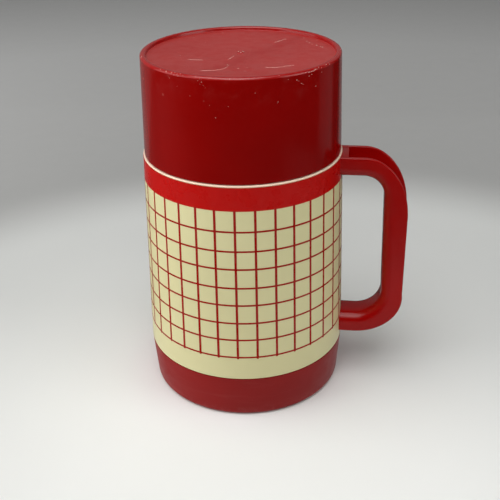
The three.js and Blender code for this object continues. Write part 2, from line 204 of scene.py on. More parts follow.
def moulded_plastic(name, base, shade, roughness, wear=None, **values):
    """Moulded plastic: soft tone variation, an uneven gloss, and a faint orange-peel surface."""
    finish = Finish(name, **values)
    tone = finish.mix(finish.blotches(38, 3, 0.35, 0.65, 0, 1), rgb(*base), rgb(*shade))
    rub = finish.blotches(9, 5, 0.4, 0.75, 0, 1, roughness=0.65)
    gloss = finish.spread(rub, 0, 1, roughness, roughness + 0.1)
    if wear:
        hairlines = finish.scratches(14, (1, 1, 0.25), 0.008)
        patches = finish.blotches(22, 2, 0.5, 0.62, 0, 1)
        marks = finish.times(finish.times(hairlines, patches), 0.12)
        tone = finish.mix(marks, tone, rgb(*wear))
    finish.colour(tone).roughness(gloss)
    finish.bump(finish.noise(1.6, 2), 0.012)
    finish.bump(finish.noise(24, 1), 0.05)
    return finish.material


def make_red_gloss():
    return moulded_plastic(
        "red_gloss",
        (0.325, 0.0010, 0.0005),
        (0.295, 0.0009, 0.0004),
        0.18,
        (0.42, 0.09, 0.08),
        Specular_IOR_Level=0.29,
    )


def make_cup_red():
    """The cup's red, rubbed and specked near the rim that it stands on when it is used."""
    finish = Finish("cup_red")
    tone = finish.mix(
        finish.blotches(45, 3, 0.35, 0.65, 0, 1),
        rgb(0.238, 0.0010, 0.0004),
        rgb(0.210, 0.0009, 0.0004),
    )
    near_rim = finish.height_mask(168, 185.2)
    specks = finish.times(finish.speckle(2.6, 0.10), near_rim)
    rubbed = finish.times(finish.blotches(5, 4, 0.5, 0.75, 0, 1), near_rim)
    tone = finish.mix(finish.times(specks, 0.5), tone, rgb(0.55, 0.22, 0.19))
    tone = finish.mix(finish.times(rubbed, 0.04), tone, rgb(0.5, 0.12, 0.1))
    gloss = finish.spread(rubbed, 0, 1, 0.16, 0.32)
    finish.colour(tone).roughness(gloss)
    finish.bump(finish.noise(1.6, 2), 0.01)
    finish.bump(finish.noise(26, 1), 0.06)
    return finish.material


def make_cup_rim_painted_highlight():
    """The raised rim of the cup's flat end: a lighter red than the cup's side, a painted highlight
    along the rim, with rubbed patches from standing on tables.
    """
    finish = Finish("cup_rim_painted_highlight", Specular_IOR_Level=0.55)
    rubbed = finish.blotches(4, 5, 0.5, 0.75, 0, 1, roughness=0.65)
    # the rim's lighter red base is a painted highlight; the paler rubbed patches mixed into it are
    # wear
    tone = finish.mix(finish.times(rubbed, 0.12), rgb(0.32, 0.0030, 0.0025), rgb(0.5, 0.12, 0.10))
    finish.colour(tone).roughness(finish.spread(rubbed, 0, 1, 0.2, 0.3))
    finish.bump(finish.noise(0.9, 3), 0.012)
    return finish.material


def make_cup_end_painted_reflection():
    """The flat end of the cup: duller, evenly rubbed, with a redder streak across it; its base red is
    lighter and pinker than the side's, a painted reflection of the bright wall.
    """
    finish = Finish("cup_end_painted_reflection")
    # the lighter, pinker base red is a painted reflection; the grain, streak and specks below are
    # wear
    tone = finish.mix(
        finish.blotches(32, 3, 0.3, 0.7, 0, 1),
        rgb(0.345, 0.018, 0.016),
        rgb(0.375, 0.026, 0.023),
    )
    grain = finish.blotches(1.1, 4, 0.35, 0.75, 0, 0.10, roughness=0.6)
    tone = finish.mix(grain, tone, rgb(0.55, 0.16, 0.14))
    diagonal = finish.math(
        "SUBTRACT", finish.times(finish.along("X"), 0.866), finish.times(finish.along("Y"), 0.5)
    )
    drift = finish.blotches(14, 3, 0, 1, 0.005, 0.011)
    offset = finish.math("ABSOLUTE", finish.math("SUBTRACT", diagonal, drift))
    streak = finish.spread(offset, 0.001, 0.005, 0.34, 0, soft=True)
    tone = finish.mix(streak, tone, rgb(0.31, 0.006, 0.006))
    specks = finish.times(finish.speckle(3.2, 0.08), 0.3)
    tone = finish.mix(specks, tone, rgb(0.7, 0.42, 0.38))
    finish.colour(tone).roughness(finish.blotches(6, 5, 0.35, 0.7, 0.3, 0.44))
    finish.bump(finish.noise(0.9, 3), 0.012)
    finish.bump(finish.noise(20, 1), 0.05)
    return finish.material


def make_base_red():
    """The base: a duller, slightly chalky red, rubbed where it stands."""
    finish = Finish("base_red")
    tone = finish.mix(
        finish.blotches(30, 4, 0.35, 0.65, 0, 1, stretch=(0.5, 0.5, 1)),
        rgb(0.255, 0.0036, 0.0030),
        rgb(0.226, 0.0022, 0.0018),
    )
    near_foot = finish.math("SUBTRACT", 1.0, finish.height_mask(0.5, 6))
    rubbed = finish.times(finish.blotches(3, 5, 0.45, 0.7, 0, 1), near_foot)
    tone = finish.mix(finish.times(rubbed, 0.35), tone, rgb(0.42, 0.13, 0.11))
    rubs = finish.blotches(5, 4, 0.55, 0.75, 0, 0.12, stretch=(0.25, 0.25, 1.6))
    tone = finish.mix(rubs, tone, rgb(0.36, 0.08, 0.07))
    finish.colour(tone).roughness(finish.blotches(8, 4, 0.3, 0.7, 0.32, 0.46))
    finish.bump(finish.noise(1.1, 3), 0.014)
    return finish.material


def make_cream():
    """The jacket's cream plastic, a little yellowed, with faint moulding waves and rub marks."""
    finish = Finish("cream")
    tone = finish.mix(
        finish.blotches(40, 3, 0.35, 0.65, 0, 1),
        rgb(0.660, 0.615, 0.345),
        rgb(0.640, 0.595, 0.330),
    )
    specks = finish.times(finish.speckle(2.4, 0.02), 0.3)
    tone = finish.mix(specks, tone, rgb(0.34, 0.27, 0.13))
    finish.colour(tone).roughness(finish.blotches(10, 3, 0.35, 0.7, 0.28, 0.32))
    finish.bump(finish.noise(1.4, 2), 0.01)
    finish.bump(finish.noise(30, 1), 0.04)
    return finish.material


def make_neck_painted_bounce():
    """The neck's plastic, paler and peachier than the jacket: painted light, the bright bead under
    the cup with red light bounced onto it from the cup and the band.
    """
    finish = Finish("neck_painted_bounce")
    tone = finish.mix(finish.noise(18, 3), rgb(0.94, 0.74, 0.58), rgb(0.91, 0.71, 0.54))
    finish.colour(tone).roughness(finish.blotches(7, 4, 0.35, 0.7, 0.26, 0.38))
    finish.bump(finish.noise(1.4, 2), 0.01)
    return finish.material


def make_ink(name, shade):
    """Red printing ink, worn thin in places."""
    finish = Finish(name)
    thin = finish.blotches(1.8, 4, 0.56, 0.8, 0, 1)
    tone = finish.mix(finish.times(thin, 0.05), shade, rgb(0.58, 0.13, 0.08))
    tone = finish.mix(finish.times(finish.speckle(2.5, 0.02), 0.3), tone, rgb(0.62, 0.4, 0.26))
    finish.colour(tone).roughness(finish.blotches(7, 4, 0.35, 0.7, 0.24, 0.36))
    finish.bump(finish.noise(1.4, 2), 0.01)
    return finish.material


def make_ivory():
    return moulded_plastic(
        "ivory", (0.76, 0.71, 0.55), (0.72, 0.67, 0.5), 0.32, (0.55, 0.5, 0.38)
    )


def make_liner_red():
    return moulded_plastic("liner_red", (0.28, 0.006, 0.005), (0.25, 0.005, 0.0045), 0.2)


def make_rubber():
    finish = Finish("rubber")
    tone = finish.mix(finish.noise(6, 4), rgb(0.36, 0.33, 0.28), rgb(0.46, 0.43, 0.37))
    finish.colour(tone).roughness(finish.blotches(3, 3, 0.3, 0.7, 0.6, 0.78))
    finish.bump(finish.noise(0.7, 3), 0.03)
    return finish.material


def make_silvered_glass():
    """Glass silvered on its hidden side: a mirror with a faintly uneven, slightly warm coating."""
    finish = Finish("silvered_glass", Metallic=1.0, Coat_Weight=0.6)
    tone = finish.mix(finish.noise(18, 3), rgb(0.80, 0.81, 0.80), rgb(0.70, 0.70, 0.67))
    finish.colour(tone).roughness(finish.blotches(12, 4, 0.3, 0.7, 0.05, 0.14))
    finish.bump(finish.noise(20, 2), 0.12)
    return finish.material


def make_fibre():
    finish = Finish("pressed_fibre")
    strands = finish.noise(0.5, 4, (1, 1, 5))
    finish.colour(finish.mix(strands, rgb(0.62, 0.6, 0.52), rgb(0.78, 0.76, 0.68)))
    finish.roughness(finish.spread(strands, 0, 1, 0.85, 0.98))
    finish.bump(strands, 0.15)
    return finish.material


def make_foam():
    finish = Finish("rigid_foam")
    inputs = {"Vector": finish.place, "Scale": 1 / (0.6 * MM)}
    cells = finish.node("ShaderNodeTexVoronoi", inputs).outputs["Distance"]
    finish.colour(finish.mix(cells, rgb(0.62, 0.55, 0.34), rgb(0.8, 0.74, 0.52)))
    finish.roughness(finish.spread(cells, 0, 1, 0.8, 0.95))
    finish.bump(cells, 0.2)
    return finish.material


def make_scuff():
    """Plastic bruised pale by a knock or a scratch."""
    finish = Finish("scuff")
    finish.colour(finish.mix(finish.noise(0.6, 3), rgb(0.78, 0.42, 0.35), rgb(0.97, 0.78, 0.70)))
    finish.roughness(finish.blotches(0.4, 3, 0.3, 0.7, 0.5, 0.7))
    finish.bump(finish.noise(0.3, 2), 0.02)
    return finish.material


def make_faint_scuff():
    """A light scratch that only dulls the red."""
    finish = Finish("faint_scuff")
    finish.colour(finish.mix(finish.noise(0.8, 3), rgb(0.42, 0.08, 0.07), rgb(0.55, 0.2, 0.17)))
    finish.roughness(finish.blotches(0.4, 3, 0.3, 0.7, 0.4, 0.6))
    finish.bump(finish.noise(0.3, 2), 0.01)
    return finish.material


RED = make_red_gloss()
CUP_RED = make_cup_red()
CUP_END_PAINTED_REFLECTION = make_cup_end_painted_reflection()
CUP_RIM_PAINTED_HIGHLIGHT = make_cup_rim_painted_highlight()
BASE_RED = make_base_red()
CREAM = make_cream()
NECK_PAINTED_BOUNCE = make_neck_painted_bounce()
BAND_INK = make_ink("band_ink", rgb(0.46, 0.0022, 0.0010))
LINE_INK = make_ink("line_ink", rgb(0.32, 0.006, 0.004))
IVORY = make_ivory()
LINER_RED = make_liner_red()
RUBBER = make_rubber()
SILVERED = make_silvered_glass()
FIBRE = make_fibre()
FOAM = make_foam()
SCUFF = make_scuff()
FAINT_SCUFF = make_faint_scuff()


# -------- mesh helpers

ARC_STEP = math.radians(15)
SMOOTH_BELOW = math.radians(35)
BEVEL_ABOVE = math.radians(40)
SEGMENTS = 180
ON_AXIS = 1e-6
THREAD_LEAD = 8.0
THREAD_STARTS = 2
THREAD_STEPS = 90  # along one turn
THREAD_RUN_OUT = math.radians(14)
RIDGE_WIDTH = 1.3
RIDGE_SUNK = 0.5  # how far a ridge reaches into its wall


def rounded(corners, closed):
    """An outline's points. A corner is (x, y), or (x, y, radius) where it is rounded."""
    points = []
    for i, corner in enumerate(corners):
        here = Vector(corner[:2])
        if len(corner) < 3 or (not closed and i in (0, len(corners) - 1)):
            points.append(here)
            continue
        before = (Vector(corners[i - 1][:2]) - here).normalized()
        after = (Vector(corners[(i + 1) % len(corners)][:2]) - here).normalized()
        half = before.angle(after) / 2
        centre = here + (before + after).normalized() * corner[2] / math.sin(half)
        start = here + before * corner[2] / math.tan(half) - centre
        end = here + after * corner[2] / math.tan(half) - centre
        turn = math.atan2(start.x * end.y - start.y * end.x, start.dot(end))
        steps = max(2, round(abs(turn) / ARC_STEP))
        for step in range(steps + 1):
            angle = turn * step / steps
            x = start.x * math.cos(angle) - start.y * math.sin(angle)
            y = start.x * math.sin(angle) + start.y * math.cos(angle)
            points.append(centre + Vector((x, y)))
    return points


def ellipse(radius, height, half_height, start, end):
    """Points of a domed glass bottom's outline. Angles are in degrees."""
    steps = 14
    angles = [math.radians(start + (end - start) * i / steps) for i in range(steps + 1)]
    return [(radius * math.cos(a), height + half_height * math.sin(a)) for a in angles]


def turned(corners, segments=SEGMENTS):
    """(vertices, faces) of an outline of (radius, height) corners turned about the axis."""
    closed = corners[0][0] > 0
    outline = rounded(corners, closed)
    vertices, rings = [], []
    for point in outline:
        if point.x < ON_AXIS:
            rings.append([len(vertices)] * segments)
            vertices.append((0, 0, point.y))
            continue
        rings.append([len(vertices) + k for k in range(segments)])
        for k in range(segments):
            angle = FULL_TURN * k / segments
            vertices.append((point.x * math.cos(angle), point.x * math.sin(angle), point.y))
    faces = []
    following = rings[1:] + (rings[:1] if closed else [])
    for a, b in zip(rings, following):
        for k in range(segments):
            n = (k + 1) % segments
            unique = list(dict.fromkeys([a[k], a[n], b[n], b[k]]))
            if len(unique) > 2:
                faces.append(unique)
    return vertices, faces


def swept(loops):
    """(vertices, faces) of a closed tube through loops of equally many points, with flat ends."""
    vertices = [point for loop in loops for point in loop]
    count = len(loops[0])
    faces = [list(range(count)), list(range(len(vertices) - count, len(vertices)))]
    for i in range(len(loops) - 1):
        for k in range(count):
            a, b = i * count + k, i * count + (k + 1) % count
            faces.append([a, b, b + count, a + count])
    return vertices, faces


def threads(wall, tip, bottom, turns):
    """The ridges of a screw thread on a wall of that radius, run out to nothing at both ends."""
    sunk = math.copysign(RIDGE_SUNK, wall - tip)
    steps = round(THREAD_STEPS * turns)
    ridges = []
    for start in range(THREAD_STARTS):
        loops = []
        for step in range(steps + 1):
            turn = FULL_TURN * turns * step / steps
            fade = min(1.0, min(turn, FULL_TURN * turns - turn) / THREAD_RUN_OUT) ** 0.5
            crest = wall + (tip - wall) * (0.1 + 0.9 * fade)
            half = RIDGE_WIDTH / 2 * (0.5 + 0.5 * fade)
            corners = [
                (wall + sunk, half),
                (wall, half),
                (crest, half * 0.5, 0.12),
                (crest, -half * 0.5, 0.12),
                (wall, -half),
                (wall + sunk, -half),
            ]
            angle = turn + FULL_TURN * start / THREAD_STARTS
            height = bottom + THREAD_LEAD * turn / FULL_TURN
            section = rounded(corners, True)
            loop = [(p.x * math.cos(angle), p.x * math.sin(angle), height + p.y) for p in section]
            loops.append(loop)
        ridges.append(swept(loops))
    return ridges


def box_shape(lowest, highest):
    """(vertices, faces) of a box between two corners."""
    xs, ys, zs = zip(lowest, highest)
    loop = [(0, 0), (1, 0), (1, 1), (0, 1)]
    return swept([[(xs[i], ys[j], z) for i, j in loop] for z in zs])


def piece(name, shapes, body, material, nodes=(), skin_at=None, bevel=0):
    """One mesh object from (vertices, faces) shapes in millimetres, riding on a body."""
    work = bmesh.new()
    for vertices, faces in shapes:
        corners = [work.verts.new(Vector(v) * MM) for v in vertices]
        for face in faces:
            work.faces.new([corners[i] for i in face])
    bmesh.ops.recalc_face_normals(work, faces=work.faces)
    if bevel:
        edges = [e for e in work.edges if e.calc_face_angle(0) > BEVEL_ABOVE]
        settings = {"segments": 3, "affect": "EDGES", "profile": 0.5}
        bmesh.ops.bevel(work, geom=edges, offset=bevel * MM, **settings)
    if skin_at:
        for face in work.faces:
            face.material_index = skin_at(face.calc_center_median() / MM)
    mesh = bpy.data.meshes.new(name)
    work.to_mesh(mesh)
    work.free()
    mesh.shade_smooth()
    mesh.set_sharp_from_angle(angle=SMOOTH_BELOW)
    for one in material if isinstance(material, list) else [material]:
        mesh.materials.append(one)
    made = placed(name, mesh)
    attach(made, body)
    if nodes:
        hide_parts(*nodes)


# -------- measures from the frame

WALL = 2.0
BODY_RADIUS = high("base_cup").y
FOOT_RADIUS = BODY_RADIUS - 2.0
FOOT_ROUNDING = 3
BASE_TOP = low("jacket").z
SPIGOT_TOP = high("base_cup").z
SPIGOT_RADIUS = BODY_RADIUS - 3.6
JACKET_TOP = high("jacket").z
JACKET_TAPER = 0.0239
FLANGE_RADIUS = high("neck_collar").y
FLANGE_TOP = low("cup_shell").z - 0.3
NECK_TOP = high("neck_collar").z
NECK_RADIUS = 47.0
BORE_RADIUS = 43.0
CUP_WALL = 1.9
CUP_BOTTOM = low("cup_shell").z
CUP_TOP = high("cup_shell").z - 0.06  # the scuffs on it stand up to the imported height
CUP_MOUTH_RADIUS = high("cup_shell").y
CUP_TOP_RADIUS = CUP_MOUTH_RADIUS - 1.3
CUP_END_HEIGHT = CUP_TOP - 1.75
RIM_ROUNDING = 1.3
RIM_WIDTH = 3
SHORT_THREAD = 0.5  # turns
LONG_THREAD = 0.75


def jacket_radius(z):
    """The outside of the jacket at a height."""
    return BODY_RADIUS - JACKET_TAPER * (z - BASE_TOP)


def ring_outline(inside, outside, bottom, top, inner_rounding, outer_rounding):
    """The section of a plain ring."""
    return [
        (inside, bottom, inner_rounding),
        (outside, bottom, outer_rounding),
        (outside, top, outer_rounding),
        (inside, top, inner_rounding),
    ]


# -------- base and filler

GLASS = 1.5


def make_base():
    """The screw-on base. It stands on a hub and on a ring, with a shallow hollow between."""
    hub = 14
    ring_inside = 44.5
    hollow = 1.2
    floor = 3
    brim = BASE_TOP - 0.5
    bore = SPIGOT_RADIUS - WALL
    outline = [
        (0, 0),
        (hub, 0, 0.3),
        (hub + 0.8, hollow, 0.3),
        (ring_inside - 1, hollow, 0.3),
        (ring_inside, 0, 0.3),
        (FOOT_RADIUS, 0, FOOT_ROUNDING),
        (BODY_RADIUS - 0.02, brim, 0.3),
        (SPIGOT_RADIUS, brim, 0.2),
        (SPIGOT_RADIUS, SPIGOT_TOP, 0.4),
        (bore, SPIGOT_TOP, 0.4),
        (bore, 27.1, 1),
        (BODY_RADIUS - 2.8, 23, 1),
        (FOOT_RADIUS - WALL, floor, 2),
        (0, floor),
    ]
    shapes = [turned(outline), *threads(SPIGOT_RADIUS, tip=51.6, bottom=29.6, turns=SHORT_THREAD)]
    piece("base_screw_cup", shapes, "base", BASE_RED, ["base_cup"])


def make_cushion():
    """The rubber cushion, dished for the glass bottom and open for its sealed tip."""
    hole, edge = 8, 30
    bottom, top = 3.3, 17.1
    outline = [
        (hole, bottom, 0.4),
        (edge, bottom, 1),
        (edge, top, 0.9),
        (edge - 2.4, top, 0.8),
        (18, 14.9, 4),
        (hole, 13.6, 0.5),
    ]
    piece("filler_cushion", [turned(outline, 96)], "base", RUBBER, ["base_cushion"])


def make_outer_glass():
    radius = high("outer_flask").y
    inside = radius - GLASS
    neck, lip = 39.4, 126.2
    dome, depth = 34, 20  # the domed bottom's upper edge, and how deep it is
    sealed_tip = [(0, 8.5), (1.4, 8.9), (2.1, 10.2), (2.4, 13.7, 0.8)]
    outline = [
        *sealed_tip,
        *ellipse(radius, dome, depth, -86, 0),
        (radius, 108, 8),
        (neck, 118, 8),
        (neck, lip, 0.5),
        (neck - GLASS, lip, 0.5),
        (neck - GLASS, 117.6, 7),
        (inside, 107.2, 8),
        *ellipse(inside, dome, depth - GLASS, 0, -86),
        (0, dome - depth + GLASS),
    ]
    shape = [turned(outline)]
    piece("filler_outer_glass", shape, "base", SILVERED, ["outer_flask"])


def make_inner_glass():
    """The inner glass wall, whose rolled lip covers the outer one's."""
    radius = high("inner_flask").y
    inside = radius - GLASS
    neck, lip = 36, 39.9
    lip_bottom, lip_top = 126.5, 128.4
    dome, depth = 40, 16
    outline = [
        (0, dome - depth),
        *ellipse(radius, dome, depth, -84, 0),
        (radius, 106, 8),
        (neck, 116, 8),
        (neck, lip_bottom, 0.6),
        (lip, lip_bottom, 0.9),
        (lip, lip_top, 0.9),
        (neck - GLASS, lip_top, 1.2),
        (neck - GLASS, 115.6, 7),
        (inside, 105.2, 8),
        *ellipse(inside, dome, depth - GLASS, 0, -84),
        (0, dome - depth + GLASS),
    ]
    shape = [turned(outline)]
    piece("filler_inner_glass", shape, "base", SILVERED, ["inner_flask"])


def make_pads():
    """Felt discs between the two glass walls, with their edges taken off."""
    count = 3
    height = 62
    inner, outer = 41.75, 43.75
    radius, edge = 4, 3.6
    profile = ((inner, edge), (inner + 0.35, radius), (outer - 0.35, radius), (outer, edge))
    angles = [FULL_TURN * k / 32 for k in range(32)]
    for index in range(count):
        turn = Matrix.Rotation(FULL_TURN * index / count, 4, "Z")
        loops = []
        for depth, reach in profile:
            ring = [(depth, reach * math.cos(a), height + reach * math.sin(a)) for a in angles]
            loops.append([tuple(turn @ Vector(point)) for point in ring])
        number = index + 1
        node = f"spacer_pad_{number}"
        piece(f"felt_pad_{number}", [swept(loops)], "base", FIBRE, [node])


def make_shoulder_ring():
    ring = turned(ring_outline(46.6, 49.8, 94, 104, 0.6, 1), 120)
    piece("centring_ring", [ring], "base", RUBBER, ["shoulder_ring"])


# -------- casing

BAND_BOTTOM = 121.3
INK_THICKNESS = 0.06
INK_SUNK = 0.2
GRID_COLUMNS = 33
GRID_LINE_HEIGHTS = [110.4, 99.9, 90.1, 79.6, 69.7, 59.3, 49.3, 38.8]
ROW_LINE_WIDTH = 0.95
COLUMN_LINE_WIDTH = 1.2


def make_jacket():
    bottom = BASE_TOP
    top = JACKET_TOP
    outline = [
        (jacket_radius(bottom) - WALL, bottom, 0.3),
        (jacket_radius(bottom), bottom, 0.2),
        (jacket_radius(top), top, 0.3),
        (jacket_radius(top) - WALL, top, 0.3),
    ]
    thread_wall = jacket_radius(30) - WALL
    shapes = [turned(outline), *threads(thread_wall, tip=51.1, bottom=27.6, turns=SHORT_THREAD)]
    piece("jacket_skin", shapes, "casing", CREAM, ["jacket"])


def ink_ring(bottom, top):
    """A printed ring: thin, and sunk a little into the jacket."""
    return turned(
        [
            (jacket_radius(bottom) - INK_SUNK, bottom),
            (jacket_radius(bottom) + INK_THICKNESS, bottom),
            (jacket_radius(top) + INK_THICKNESS, top),
            (jacket_radius(top) - INK_SUNK, top),
        ]
    )


def ink_column(middle, heights):
    """A printed line up the jacket at an angle about the axis, a little narrower at its foot."""
    loops = []
    for z in heights:
        half = COLUMN_LINE_WIDTH / 2 * (0.6 if z == heights[0] else 1)
        spread = half / jacket_radius(z)
        outer = jacket_radius(z) + INK_THICKNESS * 1.3  # just proud of the rows that it crosses
        inner = jacket_radius(z) - INK_SUNK
        section = [(outer, -spread), (outer, 0), (outer, spread), (inner, spread), (inner, -spread)]
        loops.append([(r * math.cos(middle + a), r * math.sin(middle + a), z) for r, a in section])
    return swept(loops)


def make_print():
    band = ink_ring(BAND_BOTTOM, JACKET_TOP)
    piece("printed_band", [band], "casing", BAND_INK)
    half = ROW_LINE_WIDTH / 2
    rows = [ink_ring(z - half, z + half) for z in GRID_LINE_HEIGHTS]
    piece("printed_rows", rows, "casing", LINE_INK)
    foot = GRID_LINE_HEIGHTS[-1] - half - 0.5
    heights = [foot, foot + 0.3, BAND_BOTTOM - 0.3, BAND_BOTTOM + 0.4]
    angles = [FULL_TURN * column / GRID_COLUMNS for column in range(GRID_COLUMNS)]
    columns = [ink_column(middle, heights) for middle in angles]
    piece("printed_columns", columns, "casing", LINE_INK)


def make_neck():
    """The neck: a shelf over the glass lip, a skirt in the jacket and a threaded wall."""
    mouth = 35.4
    shelf_bottom, shelf_top = 130.8, 133
    skirt_inside, skirt_outside, skirt_bottom = 46.6, 49.2, 129.4
    flange_bottom = JACKET_TOP + 0.12
    bead = 0.33  # rounding of the flange's rim, which shows under the cup
    outline = [
        (mouth, shelf_bottom, 0.4),
        (skirt_inside, shelf_bottom),
        (skirt_inside, skirt_bottom, 0.3),
        (skirt_outside, skirt_bottom, 0.3),
        (skirt_outside, flange_bottom),
        (FLANGE_RADIUS, flange_bottom, bead),
        (FLANGE_RADIUS, FLANGE_TOP, bead),
        (NECK_RADIUS, FLANGE_TOP, 0.4),
        (NECK_RADIUS, NECK_TOP, 0.7),
        (BORE_RADIUS, NECK_TOP, 0.7),
        (BORE_RADIUS, shelf_top, 0.5),
        (mouth, shelf_top, 0.4),
    ]
    shapes = [
        turned(outline),
        *threads(NECK_RADIUS, tip=48.2, bottom=138, turns=LONG_THREAD),
        *threads(BORE_RADIUS, tip=41.9, bottom=139.6, turns=SHORT_THREAD),
    ]
    piece("screw_neck", shapes, "casing", NECK_PAINTED_BOUNCE, ["neck_collar"])


def make_mouth_seal():
    ring = turned(ring_outline(35, 40.6, 128.7, 130.5, 0.5, 0.8))
    piece("mouth_ring", [ring], "casing_lift", RUBBER, ["mouth_seal"])


HANDLE_WIDTH = 19.0
HANDLE_WEB = 2.6
FINGER_ROUNDING = 5.6
HANDLE_TOP = high("handle").z
HANDLE_BOTTOM = low("handle").z
HANDLE_REACH = high("handle").x
INNER_TOP = 122.2
INNER_BOTTOM = 40.7
UPPER_ARM_ROOT = 50.6
LOWER_ARM_ROOT = 52.9
# The bends of the channel's open edges and of its finger side: a centre and two radii each.
OUTER_UPPER = (63.2, 100.6, 23.5, HANDLE_TOP - 100.6)
OUTER_LOWER = (61.35, 52.1, HANDLE_REACH - 61.35, 52.1 - HANDLE_BOTTOM)
INNER_UPPER = (63.2, 111.0, 10.8, INNER_TOP - 111.0)
INNER_LOWER = (61.35, 54.7, 14.0, 54.7 - INNER_BOTTOM)
BEND_STEPS = 24


def crossing(hub, direction, bend):
    """Where a line from a hub inside an elliptical bend crosses it."""
    x, z, radius_x, radius_z = bend
    start = Vector(((hub.x - x) / radius_x, (hub.y - z) / radius_z))
    step = Vector((direction.x / radius_x, direction.y / radius_z))
    half = start.dot(step) / step.length_squared
    rest = (start.length_squared - 1) / step.length_squared
    return hub + direction * (math.sqrt(half * half - rest) - half)


def bend_stations(outer, inner, first):
    """A quarter turn of the handle, from an angle in degrees down: (open edge, finger side) pairs."""
    hub = Vector(inner[:2])
    pairs = []
    for step in range(BEND_STEPS + 1):
        angle = math.radians(first - 90 * step / BEND_STEPS)
        direction = Vector((math.cos(angle), math.sin(angle)))
        pairs.append((crossing(hub, direction, outer), crossing(hub, direction, inner)))
    return pairs


def handle_stations():
    """(open edge, finger side) pairs of points in the XZ plane, from the upper arm down."""
    upper = bend_stations(OUTER_UPPER, INNER_UPPER, 90)
    lower = bend_stations(OUTER_LOWER, INNER_LOWER, 0)
    top, bottom = upper[-1][1], lower[0][1]
    grip = []
    for z in (109.5, 108, 106, 104, 102, OUTER_UPPER[1]):
        inner = top.lerp(bottom, (top.y - z) / (top.y - bottom.y))
        grip.append((crossing(inner, Vector((1, 0)), OUTER_UPPER), inner))
    upper_end = (Vector((UPPER_ARM_ROOT, HANDLE_TOP)), Vector((UPPER_ARM_ROOT, INNER_TOP)))
    lower_end = (Vector((LOWER_ARM_ROOT, HANDLE_BOTTOM)), Vector((LOWER_ARM_ROOT, INNER_BOTTOM)))
    return [upper_end, *upper, *grip, *lower, lower_end]


def make_handle():
    side = HANDLE_WIDTH / 2
    lip = side - 1.9  # the inner faces of the channel's sides, at the open edges and at the web
    root = side - 2.2
    loops = []
    for outer, inner in handle_stations():
        depth = (outer - inner).length
        rise = (outer - inner).normalized()
        section = rounded(
            [
                (depth, side, 0.6),
                (0, side, FINGER_ROUNDING),
                (0, -side, FINGER_ROUNDING),
                (depth, -side, 0.6),
                (depth, -lip, 0.5),
                (HANDLE_WEB, -root, 1.2),
                (HANDLE_WEB, root, 1.2),
                (depth, lip, 0.5),
            ],
            True,
        )
        places = [(inner + rise * corner.x, corner.y) for corner in section]
        loops.append([(at.x, across, at.y) for at, across in places])
    piece("handle_channel", [swept(loops)], "casing", RED, ["handle"])
    make_handle_ends(side)


def make_handle_ends(side):
    """The walls that close the channel at the jacket, and the hooks that hold it there."""
    across = side - 1.8
    web = HANDLE_WEB - 0.2
    shy = 0.4  # the walls stop just short of the open edges
    spans = [(INNER_TOP + web, HANDLE_TOP - shy), (HANDLE_BOTTOM + shy, INNER_BOTTOM - web)]
    walls = []
    for bottom, top in spans:
        meets = jacket_radius((bottom + top) / 2)
        walls.append(box_shape((meets - 1.2, -across, bottom), (meets + 3.3, across, top)))
    piece("handle_end_walls", walls, "casing", RED, bevel=0.35)

    hooks = []
    half, lip_half = 4.2, 4.1
    for bottom, top, lip_bottom, lip_top in ((124.5, 128, 122.5, 128), (36.6, 39.6, 36.6, 42)):
        inner = jacket_radius(bottom) - WALL
        tip = inner - 2.1
        hooks.append(box_shape((tip, -half, bottom), (inner + 1, half, top)))
        hooks.append(box_shape((tip, -lip_half, lip_bottom), (inner - 0.6, lip_half, lip_top)))
    piece("handle_hooks", hooks, "casing", RED, bevel=0.3)


# -------- stopper

PLUG_RADIUS = 33.4
STOPPER_RADIUS = 41.4
STOPPER_WALL = 1.7


def make_stopper():
    """The plug with its threaded upper part, the foam in it and the ring that it closes on."""
    bottom, step, top = 119.3, 135.4, 146.9
    plug_inside = PLUG_RADIUS - STOPPER_WALL
    inside = STOPPER_RADIUS - STOPPER_WALL
    outline = [
        (0, bottom),
        (PLUG_RADIUS, bottom, 3),
        (PLUG_RADIUS, step, 0.5),
        (STOPPER_RADIUS, step, 0.5),
        (STOPPER_RADIUS, top, 0.3),
        (inside, top, 0.3),
        (inside, step + STOPPER_WALL, 0.5),
        (plug_inside, step + STOPPER_WALL, 0.5),
        (plug_inside, bottom + STOPPER_WALL, 1.5),
        (0, bottom + STOPPER_WALL),
    ]
    shapes = [turned(outline), *threads(STOPPER_RADIUS, tip=42.5, bottom=137.6, turns=SHORT_THREAD)]
    piece("stopper_plug", shapes, "stopper", IVORY, ["stopper_body"])
    clear = 0.4  # between the foam and the plug
    foam_inside, foam_outside = 31.2, 39
    foam_step = 137.5
    filling = [
        (0, bottom + STOPPER_WALL + clear),
        (foam_inside, bottom + STOPPER_WALL + clear, 2),
        (foam_inside, foam_step, 0.6),
        (foam_outside, foam_step, 0.6),
        (foam_outside, top - clear, 1),
        (0, top - clear),
    ]
    shapes = [turned(filling, 96)]
    piece("stopper_filling", shapes, "stopper", FOAM, ["stopper_foam"])
    ring = turned(ring_outline(33.9, 40, 133.3, 135.1, 0.5, 0.8))
    piece("stopper_ring", [ring], "stopper_lift", RUBBER, ["stopper_gasket"])


def make_stopper_cap():
    bottom = low("stopper_cap").z
    top = high("stopper_cap").z
    rim = high("stopper_cap").y
    deck = bottom + 2
    outline = [
        (0, bottom),
        (rim, bottom, 0.6),
        (rim - 0.9, top, 0.8),
        (rim - 2.9, top, 0.8),
        (rim - 3.4, deck, 1),
        (0, deck),
    ]
    piece("stopper_lid", [turned(outline)], "stopper", IVORY, ["stopper_cap"])
    reach, half, sunk = rim - 2.2, 4, 0.6
    bar = box_shape((-reach, -half, deck - sunk), (reach, half, top - sunk))
    piece("stopper_grip", [bar], "stopper", IVORY, bevel=1.1)


# -------- cup

LINER_WALL = 1.5
GATE_RISE = 0.35


